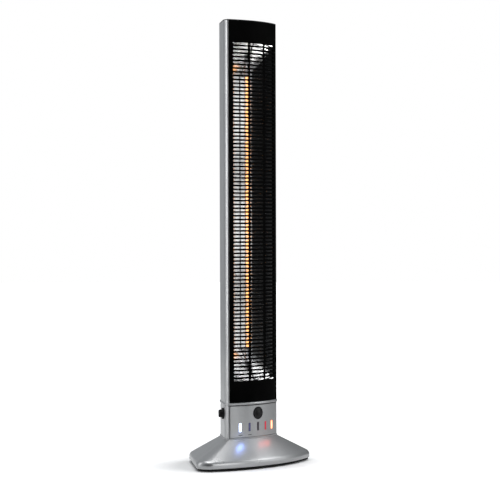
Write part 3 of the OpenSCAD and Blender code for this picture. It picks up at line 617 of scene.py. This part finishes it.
# Shade of the floor as the heater mirrors it: near the camera, and beyond it, with the reach of the change
FLOOR_FELT, FELT_REACH = (0.10, 0.85), (-1.1, -0.5)
# Its dim side, to the front right: the direction, its shares of the shade, and the reach of the change
FLOOR_DIM_DIR, FLOOR_DIM, DIM_REACH = Vector((0.876, -0.482, 0)), (1.0, 0.6), (0.12, 0.6)
VIEW_AZIMUTH = math.radians(44.3)
VIEW_DIR = Vector((math.sin(VIEW_AZIMUTH), math.cos(VIEW_AZIMUTH), 0))
VIEW_RIGHT = Vector((math.cos(VIEW_AZIMUTH), -math.sin(VIEW_AZIMUTH), 0))


def build_floor():
    """A wide pale disc under the heater, with a shadow painted round its base."""
    mesh = bpy.data.meshes.new("studio_floor")
    shape = bmesh.new()
    bmesh.ops.create_circle(shape, cap_ends=True, radius=FLOOR_RADIUS, segments=FLOOR_SIDES)
    shape.to_mesh(mesh)
    shape.free()
    floor = bpy.data.objects.new("studio_floor", mesh)
    SCENE.collection.objects.link(floor)
    g = Graph("studio_floor")
    g.to("Base Color", g.ramp(g.noise(3, 2), [(0.3, 0.86), (0.7, 0.88)]))
    g.to("Roughness", g.remap(g.noise(20, 2), 0.75, 0.85))
    wide, foot = (g.add("ShaderNodeTexGradient", gradient_type="SPHERICAL") for _ in range(2))
    g.link(g.mapped((1 / FLOOR_FADE,) * 3), wide.inputs["Vector"])
    g.link(g.mapped(tuple(1 / side for side in PAINTED_SHADOW_REACH)), foot.inputs["Vector"])
    glow = g.remap(wide.outputs["Fac"], FLOOR_FAR, FLOOR_NEAR, FADE_STEP)
    # Painted shadow: the floor's glow fades out towards and under the base
    lit = g.remap(foot.outputs["Fac"], 1.0, 0.0, PAINTED_SHADOW_STEP)
    g.to("Emission Strength", g.math("MULTIPLY", glow, lit))
    g.to("Emission Color", g.ramp(g.noise(2, 1), [(0.3, 0.99), (0.7, 1.0)]))
    g.set(Specular_IOR_Level=0.2)
    felt, mix, path = (g.add(kind) for kind in (
        "ShaderNodeBsdfDiffuse", "ShaderNodeMixShader", "ShaderNodeLightPath"))

    def shade_along(direction, low, high, reach):
        """Shade that changes along a direction over a reach of it."""
        dot = g.add("ShaderNodeVectorMath", operation="DOT_PRODUCT")
        dot.inputs[1].default_value = direction
        g.link(g.coord, dot.inputs[0])
        return g.remap(dot.outputs["Value"], low, high, reach)

    shade = g.math("MULTIPLY", shade_along(VIEW_DIR, *FLOOR_FELT, FELT_REACH),
                   shade_along(FLOOR_DIM_DIR, *FLOOR_DIM, DIM_REACH))
    g.link(shade, felt.inputs["Color"])
    g.link(path.outputs["Is Camera Ray"], mix.inputs["Fac"])
    g.link(felt.outputs[0], mix.inputs[1])
    g.link(g.shader.outputs[0], mix.inputs[2])
    g.link(mix.outputs[0], g.out.inputs["Surface"])
    mesh.materials.append(g.material)


def area_light(name, place, aim, size, power, spread=180, colour=(1, 1, 1)):
    """A soft rectangle of light that the camera itself doesn't see."""
    data = bpy.data.lights.new(name, "AREA")
    data.shape = "RECTANGLE"
    data.size, data.size_y = size
    data.energy = power
    data.color = colour
    data.spread = math.radians(spread)
    light = bpy.data.objects.new(name, data)
    light.location = place
    light.visible_camera = False
    light.rotation_euler = (Vector(aim) - Vector(place)).to_track_quat("-Z", "Y").to_euler()
    SCENE.collection.objects.link(light)


# Brightness of the room level with the heater and above it, and the rise of a ray over which it changes
WORLD_LEVEL, WORLD_TOP, WORLD_RISE = 0.42, 0.50, (-0.1, 0.9)
# Behind the camera: share of the brightness, and how closely a ray looks there as it sets in and is full
WORLD_DARK, DARK_CONE = 0.03, (0.45, 0.93)
# The same for the dim side, to the heater's right
DIM_DIR, DIM_SHARE, DIM_CONE = Vector((0.97, 0.25, 0)), 0.3, (0.72, 0.98)
# The room's light is a little cool
WORLD_TINT = (0.93, 0.965, 1, 1)


def build_world():
    """White to the camera. To the heater: grey around, bright above, dark behind the camera."""
    world = bpy.data.worlds.new("studio")
    world.use_nodes = True
    tree = world.node_tree
    tree.nodes.clear()

    def new(kind, **settings):
        node = tree.nodes.new(kind)
        for key, value in settings.items():
            setattr(node, key, value)
        return node

    link = tree.links.new
    coord = new("ShaderNodeTexCoord")

    def facing(direction, src, dst):
        """Smooth step over how closely a ray looks along a direction."""
        dot = new("ShaderNodeVectorMath", operation="DOT_PRODUCT")
        dot.inputs[1].default_value = direction
        link(coord.outputs["Generated"], dot.inputs[0])
        step = new("ShaderNodeMapRange", interpolation_type="SMOOTHSTEP")
        for key, value in zip(("From Min", "From Max", "To Min", "To Max"), (*src, *dst)):
            step.inputs[key].default_value = value
        link(dot.outputs["Value"], step.inputs["Value"])
        return step.outputs["Result"]

    def join(operation, one, other):
        node = new("ShaderNodeMath", operation=operation)
        link(one, node.inputs[0])
        link(other, node.inputs[1])
        return node.outputs[0]

    around = facing((0, 0, 1), WORLD_RISE, (WORLD_LEVEL, WORLD_TOP))
    shade = join("MULTIPLY", around, facing(-VIEW_DIR, DARK_CONE, (1.0, WORLD_DARK)))
    shade = join("MULTIPLY", shade, facing(DIM_DIR, DIM_CONE, (1.0, DIM_SHARE)))
    out, mix, path = new("ShaderNodeOutputWorld"), new("ShaderNodeMixShader"), new("ShaderNodeLightPath")
    seen, felt = new("ShaderNodeBackground"), new("ShaderNodeBackground")
    seen.inputs["Color"].default_value = (1, 1, 1, 1)
    felt.inputs["Color"].default_value = WORLD_TINT
    link(shade, felt.inputs["Strength"])
    link(path.outputs["Is Camera Ray"], mix.inputs["Fac"])
    link(felt.outputs[0], mix.inputs[1])
    link(seen.outputs[0], mix.inputs[2])
    link(mix.outputs[0], out.inputs["Surface"])
    SCENE.world = world


# Softboxes: name, place, aim, size in metres, power in watts and spread in degrees
SOFTBOXES = [
    ("top_softbox", (-0.3, -0.3, 3.2), (0, 0, 0), (2.2, 2.2), 50, 180),
    ("front_softbox", (1.75, -1.85, 0.8), (0, 0, 0.5), (1.5, 2.0), 9, 180),
    ("left_softbox", (-2.0, 2.05, 1.2), (0, 0, 0.6), (0.8, 2.4), 20, 180),
    ("high_softbox", (1.9, -1.15, 2.0), (0, 0, 0.2), (0.9, 0.9), 9, 180),
    ("low_softbox", (1.15, -0.52, 0.02), (0, 0, 0.9), (0.9, 0.9), 1.3, 50),
    ("fill_softbox", (0.1, -3.0, 0.8), (0, 0, 0.5), (1.2, 2.0), 14, 180),
]
# Light that the lit lenses throw down on the skirt: power in watts and colour
LENS_GLOWS = {
    "white_lens": (0.0055, (0.22, 0.36, 1.0)),
    "red_lens": (0.001, (1.0, 0.05, 0.04)),
    "amber_lens": (0.0014, (1.0, 0.12, 0.06)),
}
# Its size, its place in front of the lens and above the lens's lower end, and its aim's share of that place
GLOW_SIZE, GLOW_AHEAD, GLOW_UP, GLOW_AIM = (0.020, 0.012), 0.021, 0.002, 0.9


def lens_glow(node, power, colour):
    """Light that a lit lens throws down on the skirt in front of it."""
    low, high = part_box(node)
    x = (low.x + high.x) / 2
    place = (x, low.y - GLOW_AHEAD, low.z + GLOW_UP)
    aim = (x, low.y - GLOW_AIM * GLOW_AHEAD, 0)
    area_light(node + "_glow", place, aim, GLOW_SIZE, power, colour=colour)


# The camera: lens and sensor in millimetres, distance from the turn's centre, height, and roll
LENS_MM, SENSOR_MM, CAMERA_AWAY, CAMERA_HIGH, CAMERA_ROLL = 133.6, 36.0, 4.116, 0.5223, math.radians(-0.155)
# The point that it turns about, and its aim to the right of that and above the floor
TURN_CENTRE, AIM_RIGHT, AIM_HIGH = Vector((0, -0.023, 0)), 0.01127, 0.4758


def build_camera():
    """The photograph's view: level with the middle of the column, from the front and left."""
    data = bpy.data.cameras.new("camera")
    data.lens, data.sensor_width = LENS_MM, SENSOR_MM
    camera = bpy.data.objects.new("camera", data)
    camera.location = TURN_CENTRE - VIEW_DIR * CAMERA_AWAY + Vector((0, 0, CAMERA_HIGH))
    aim = TURN_CENTRE + VIEW_RIGHT * AIM_RIGHT + Vector((0, 0, AIM_HIGH))
    camera.rotation_euler = (aim - camera.location).to_track_quat("-Z", "Y").to_euler()
    camera.rotation_euler.rotate_axis("Z", CAMERA_ROLL)
    SCENE.collection.objects.link(camera)
    SCENE.camera = camera


build_floor()
build_world()
for softbox in SOFTBOXES:
    area_light(*softbox)
for node, glow in LENS_GLOWS.items():
    lens_glow(node, *glow)
build_camera()
SCENE.view_settings.view_transform = "Standard"
